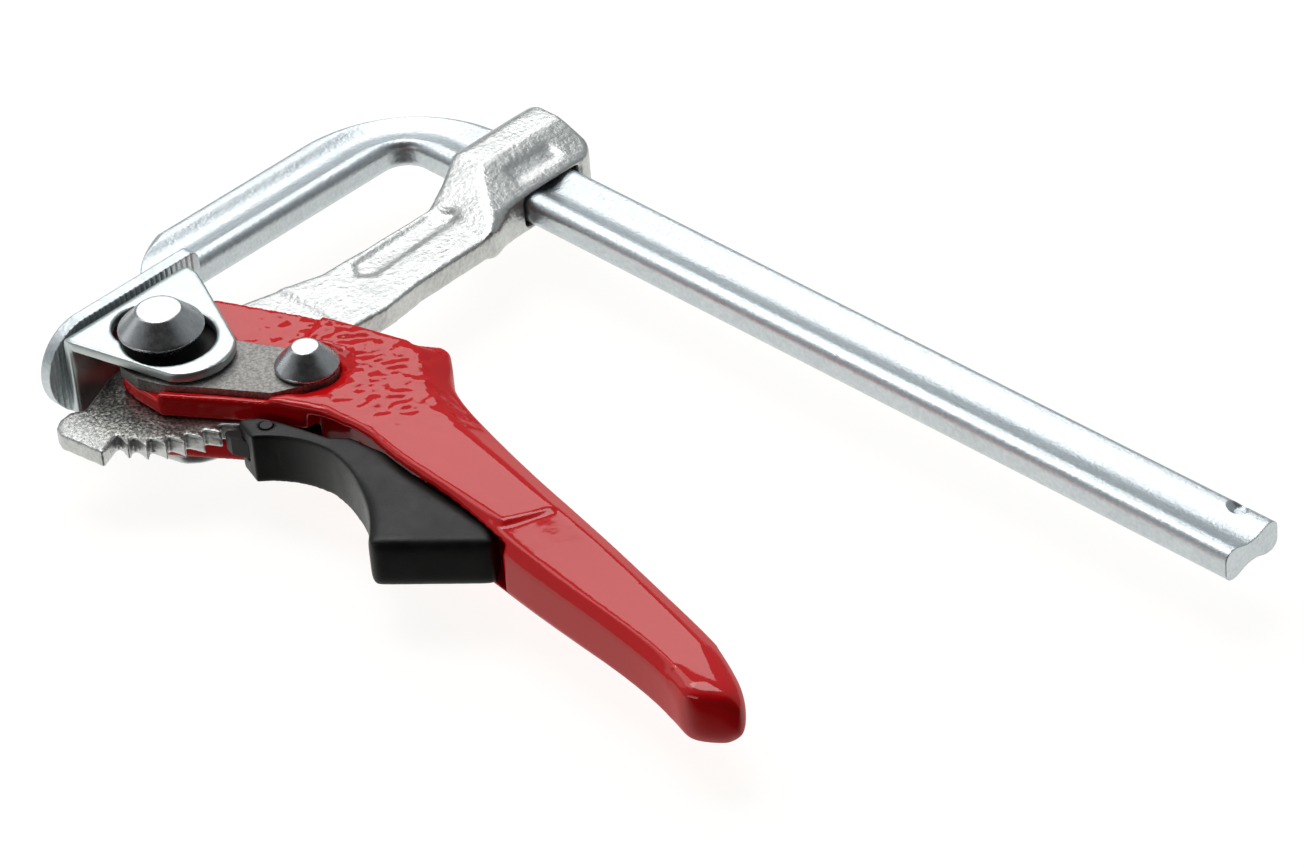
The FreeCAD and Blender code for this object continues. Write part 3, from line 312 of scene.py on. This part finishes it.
def cam_material():
    """Dull bare steel plate with a fine grain, and a painted shadow round the main rivet."""
    graph = MaterialGraph("cam steel")
    grain = graph.lumps(size=0.6 * MM, detail=4, roughness=0.7)
    speckle = graph.ramp(grain, low=0.4, high=0.6)
    bare = graph.mix(speckle, color(0.22, 0.212, 0.20), color(0.40, 0.386, 0.367))
    # Painted shadow round the main rivet: near black close to its axis, bare steel further out.
    from_pivot = graph.measure("LENGTH", graph.place(scale=(1, 1, 0)))
    tone = graph.mix(graph.ramp(from_pivot, *CAM_SHADOW_RUN), color(0.02, 0.02, 0.02), bare)
    normal = graph.bump(grain, depth=0.02 * MM, normal=graph.rounded(radius=0.25 * MM))
    graph.shade(Base_Color=tone, Metallic=0.8, Roughness=0.5, Normal=normal)
    return graph.material


def rivet_material():
    """Smooth formed steel with faint marks."""
    graph = MaterialGraph("rivet steel")
    marks = graph.lumps(size=1.5 * MM, detail=5, roughness=0.6)
    tone = graph.mix(graph.spread(marks), color(0.46, 0.47, 0.48), color(0.56, 0.57, 0.58))
    roughness = graph.spread(marks, start=0.24, end=0.32)
    normal = graph.bump(marks, depth=0.004 * MM)
    graph.shade(Base_Color=tone, Metallic=1.0, Roughness=roughness, Normal=normal)
    return graph.material


def dark_steel_material():
    """Blackened steel with faint marks."""
    graph = MaterialGraph("dark steel")
    marks = graph.lumps(size=0.8 * MM, detail=4)
    normal = graph.bump(marks, depth=0.03 * MM, normal=graph.rounded(radius=0.3 * MM))
    graph.shade(Base_Color=color(0.010, 0.010, 0.010), Metallic=0.2, Roughness=0.46, Normal=normal)
    return graph.material


def plastic_material():
    """Satin black moulded plastic with a fine grain and a few scuffs."""
    graph = MaterialGraph("black plastic")
    scuffs = graph.lumps(size=7 * MM, detail=6, roughness=0.7)
    rubbed = graph.ramp(scuffs, low=0.35, high=0.75)
    tone = graph.mix(rubbed, color(0.003, 0.003, 0.003), color(0.008, 0.008, 0.008))
    roughness = graph.spread(scuffs, start=0.36, end=0.5)
    normal = graph.bump(graph.lumps(size=0.4 * MM, detail=3), depth=0.02 * MM)
    graph.shade(Base_Color=tone, Roughness=roughness, Specular_IOR_Level=0.38, Normal=normal)
    return graph.material


def spring_material():
    """Drawn wire."""
    graph = MaterialGraph("spring wire")
    normal = graph.bump(graph.lumps(size=0.3 * MM, detail=2), depth=0.01 * MM)
    graph.shade(Base_Color=color(0.16, 0.16, 0.165), Metallic=1.0, Roughness=0.35, Normal=normal)
    return graph.material


def floor_material():
    graph = MaterialGraph("pale floor")
    mottle = graph.lumps(size=FLOOR_MOTTLE_SIZE, detail=2)
    tone = graph.mix(mottle, color(0.17, 0.17, 0.17), color(0.19, 0.19, 0.19))
    graph.shade(Base_Color=tone, Roughness=0.9, Specular_IOR_Level=0.1)
    graph.shade(Emission_Color=color(1.0, 0.99, 0.97), Emission_Strength=FLOOR_GLOW)
    return graph.material


def add_floor(height):
    mesh = bpy.data.meshes.new("floor")
    half = FLOOR_SIZE / 2
    corners = [(-half, -half, height), (half, -half, height), (half, half, height), (-half, half, height)]
    mesh.from_pydata(corners, [], [(0, 1, 2, 3)])
    floor = bpy.data.objects.new("floor", mesh)
    bpy.context.scene.collection.objects.link(floor)
    floor.data.materials.append(floor_material())
    for ray in RAYS_WITHOUT_FLOOR:
        setattr(floor, f"visible_{ray}", False)


def add_world():
    """A studio with a cool backdrop and a white bench round the clamp, dark on the camera's side."""
    world = bpy.data.worlds.new("studio")
    world.use_nodes = True
    graph = Graph(world.node_tree)
    ray = graph.node("ShaderNodeTexCoord").outputs["Generated"]
    nearness = graph.measure("DOT_PRODUCT", ray, direction(VIEW_AZIMUTH, WORLD_NEAR_ELEVATION))
    around = graph.mix(graph.ramp(graph.part(ray, "Z"), *WORLD_LOW_EDGE), WORLD_LOW_COLOR, WORLD_FAR_COLOR)
    shade = graph.mix(graph.ramp(nearness, *WORLD_NEAR_EDGE), around, WORLD_NEAR_COLOR)
    graph.feed(world.node_tree.nodes["Background"].inputs["Color"], shade)
    bpy.context.scene.world = world


def add_softbox(name, azimuth, elevation, distance, width, height, power):
    """A rectangular light that faces the clamp from the given side and height, in degrees."""
    azimuth, elevation = math.radians(azimuth), math.radians(elevation)
    light = bpy.data.lights.new(name, "AREA")
    light.shape = "RECTANGLE"
    light.size = width
    light.size_y = height
    light.energy = power
    box = bpy.data.objects.new(name, light)
    bpy.context.scene.collection.objects.link(box)
    place = VIEW_TARGET + direction(azimuth, elevation) * distance
    box.matrix_world = Matrix.Translation(place) @ view_rotation(azimuth, elevation, 0)


def add_lights():
    """The surroundings, softboxes behind and to the left of the clamp, and a low fill in front."""
    add_world()
    add_softbox("far softbox", azimuth=140, elevation=39, distance=1.6, width=0.8, height=0.5, power=3.2)
    add_softbox("high softbox", azimuth=165, elevation=74, distance=1.6, width=0.9, height=0.8, power=8.5)
    add_softbox("left softbox", azimuth=190, elevation=54, distance=1.6, width=0.7, height=0.6, power=2.2)
    add_softbox("left strip", azimuth=205, elevation=25, distance=1.4, width=0.4, height=0.9, power=0.7)
    add_softbox("low fill", azimuth=-95, elevation=12, distance=1.8, width=1.0, height=0.5, power=2.2)


def settle(piece):
    """Make what the piece's modifiers show its own mesh."""
    shown = piece.evaluated_get(bpy.context.evaluated_depsgraph_get())
    mesh = bpy.data.meshes.new_from_object(shown)
    piece.modifiers.clear()
    piece.data = mesh


def wear(piece, steps, share):
    """Round the piece's edges; share(place) says how much of each step a point takes."""
    group = piece.vertex_groups.new(name="wear")
    for vertex in piece.data.vertices:
        group.add([vertex.index], share(vertex.co), "REPLACE")
    smooth = piece.modifiers.new("smooth", "SMOOTH")
    smooth.factor = WEAR_FACTOR
    smooth.iterations = steps
    smooth.vertex_group = group.name
    settle(piece)
    piece.vertex_groups.clear()


def sink(piece, depth):
    """Press the surface in by depth(place, normal), in metres."""
    moves = [vertex.normal * depth(vertex.co, vertex.normal) for vertex in piece.data.vertices]
    for vertex, move in zip(piece.data.vertices, moves):
        vertex.co -= move


def reskin(frame, node, name, body, material, voxel, passes, depth=None):
    """Stand a copy of a CAD node for it, as one even skin with worn edges and its relief.

    Each pass is a number of smoothing steps and the share of them that a point takes.
    """
    piece = bpy.data.objects.new(name, frame["nodes"][node].data.copy())
    bpy.context.scene.collection.objects.link(piece)
    skin = piece.modifiers.new("skin", "REMESH")
    skin.mode = "VOXEL"
    skin.voxel_size = voxel
    settle(piece)
    for steps, share in passes:
        wear(piece, steps, share)
    if depth:
        sink(piece, depth)
    fewer = piece.modifiers.new("fewer", "DECIMATE")
    fewer.ratio = KEPT_FACE_SHARE
    settle(piece)
    for polygon in piece.data.polygons:
        polygon.use_smooth = True
    piece.data.materials.clear()
    piece.data.materials.append(material)
    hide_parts(node)
    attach(piece, body)


def between(value, low, high):
    """0 at low and 1 at high, held at both ends."""
    return min(1.0, max(0.0, (value - low) / (high - low)))


def everywhere(place):
    return 1.0


def arm_share(place):
    """Less wear on the toothed blade than on the casting."""
    return BLADE_WEAR_SHARE + (1.0 - BLADE_WEAR_SHARE) * between(place.y, *BLADE_WEAR_RUN)


def arm_head_share(place):
    return between(place.y, *ARM_HEAD_RUN)


def arm_crease_share(place):
    """The crease where the recess runs up to the ramp, at one place on each face."""
    x, y = ARM_CREASE_PLACE
    return 1.0 - between(math.hypot(place.x - x, place.y - y), *ARM_CREASE_REACH)


def arm_depth(place, normal):
    """The uneven skin of a casting."""
    waves = noise.noise(place / SKIN_WAVE_SIZE) + SKIN_RIPPLE_SHARE * noise.noise(place / SKIN_RIPPLE_SIZE)
    return SKIN_DEPTH * (waves + SKIN_LEVEL) * arm_share(place)


def neck_share(place):
    """More wear between the head and the grip."""
    return between(place.x, *NECK_START_RUN) * (1.0 - between(place.x, *NECK_END_RUN))


def grip_end_share(place):
    return between(place.x, *GRIP_END_RUN)


def lever_depth(place, normal):
    """Hammered dimples on the head's flat faces, fading out towards the grip."""
    if abs(normal.z) < DIMPLED_FACE_FACING:
        return 0.0
    x, y = DIMPLE_PLACE
    away = math.hypot(max(0.0, abs(place.x - x) - DIMPLE_REACH), place.y - y)
    near = 1.0 - between(away, *DIMPLE_FADE)
    spot = Vector((place.x, place.y, 0.0))
    dents = noise.noise(spot / DIMPLE_SIZE) + DIMPLE_RIPPLE_SHARE * noise.noise(spot / DIMPLE_RIPPLE_SIZE)
    return DIMPLE_DEPTH * near * between(dents, *DIMPLE_LEVELS)


def trigger_end_share(place):
    return between(place.x, *TRIGGER_END_RUN)


def add_pieces(frame):
    """The cast, folded, moulded and formed pieces, with the soft edges that their CAD solids leave off."""
    reskin(frame, "sliding_arm", "arm_casting", "arm", arm_material(), CASTING_VOXEL,
           [(ARM_STEPS, arm_share), (ARM_HEAD_STEPS, arm_head_share), (ARM_CREASE_STEPS, arm_crease_share)],
           arm_depth)
    reskin(frame, "lever_casting", "lever_enamelled", "lever", paint_material(), CASTING_VOXEL,
           [(LEVER_STEPS, everywhere), (LEVER_NECK_STEPS, neck_share), (GRIP_END_STEPS, grip_end_share)],
           lever_depth)
    reskin(frame, "pressure_pad", "pad_sheet", "pad", sheet_material(), MOULDING_VOXEL,
           [(PAD_STEPS, everywhere)])
    reskin(frame, "trigger_body", "trigger_moulding", "trigger", plastic_material(),
           MOULDING_VOXEL, [(TRIGGER_STEPS, everywhere), (TRIGGER_END_STEPS, trigger_end_share)])
    steel = rivet_material()
    for rivet in ("main_rivet", "pawl_rivet"):
        reskin(frame, rivet, rivet + "_worn", "lever", steel, RIVET_VOXEL,
               [(RIVET_STEPS, everywhere)])


def dress_nodes(frame):
    """Give every CAD node that shows its procedural material."""
    cam, dark = cam_material(), dark_steel_material()
    looks = {
        "fixed_rail": bar_material(),
        "cam_plate_upper": cam,
        "cam_plate_lower": cam,
        "pawl_bush": rivet_material(),
        "pawl": dark,
        "trigger_pin": dark,
        "trigger_spring": spring_material(),
    }
    for name, material in looks.items():
        node = frame["nodes"][name]
        node.data.materials.clear()
        node.data.materials.append(material)


def corners_of(bounds):
    return [[float(value) for value in corner] for corner in bounds]


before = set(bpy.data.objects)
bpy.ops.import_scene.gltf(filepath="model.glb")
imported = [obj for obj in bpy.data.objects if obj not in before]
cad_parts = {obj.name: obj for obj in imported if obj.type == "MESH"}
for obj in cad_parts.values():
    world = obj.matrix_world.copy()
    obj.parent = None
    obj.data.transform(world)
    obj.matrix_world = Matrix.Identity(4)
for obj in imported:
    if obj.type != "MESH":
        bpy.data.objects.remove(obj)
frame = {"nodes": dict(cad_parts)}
cad_box = corners_of(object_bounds())
bpy.context.scene.view_settings.view_transform = "Standard"
add_camera()
add_lights()
add_floor(cad_box[0][2])
add_pieces(frame)
dress_nodes(frame)
